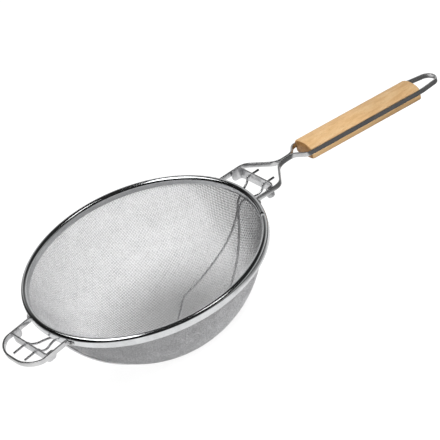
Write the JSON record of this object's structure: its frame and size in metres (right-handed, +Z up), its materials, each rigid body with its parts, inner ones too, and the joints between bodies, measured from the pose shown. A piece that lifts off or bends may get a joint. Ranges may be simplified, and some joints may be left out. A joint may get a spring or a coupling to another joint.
{
  "type": "double mesh strainer",
  "caption": "Round strainer with a deep bowl of two wire meshes in a folded metal rim, a front ear to rest on a pot, support wires under the bowl and a strip handle with a wooden grip.",
  "frame": {"origin": "middle of the overall box in plan, on the ground plane that the support wires touch under the bowl, with the rim level", "axes": "+X runs from the front ear to the handle and its hanging loop, +Z is up out of the bowl, +Y is to the left seen from the ear"},
  "size_m": [0.5682, 0.26, 0.1073],
  "materials": {
    "plated_rim": "polished plated steel sheet",
    "core_wire": "plain drawn steel wire, hidden in the rim",
    "coarse_mesh": "tinned woven wire, coarse",
    "fine_mesh": "tinned woven wire, fine",
    "strip_steel": "plated steel strip",
    "bracket_steel": "plated steel sheet, slightly dull",
    "bright_wire": "plated round wire",
    "rivet_steel": "plated rivet heads",
    "wood": "pale sanded hardwood with fine lengthwise grain"
  },
  "bodies": {
    "root": {"rim_hoop": "plated_rim", "rim_core_wire": "core_wire", "outer_mesh_bowl": "fine_mesh", "inner_mesh_bowl": "coarse_mesh", "handle_frame": "strip_steel", "wood_grip": "wood", "rear_bracket": "bracket_steel", "front_ear": "strip_steel", "front_bracket": "bracket_steel", "support_wire_left": "bright_wire", "support_wire_right": "bright_wire", "yoke_rivet_left": "rivet_steel", "yoke_rivet_right": "rivet_steel", "ear_rivet_left": "rivet_steel", "ear_rivet_right": "rivet_steel"}
  },
  "joints": []
}
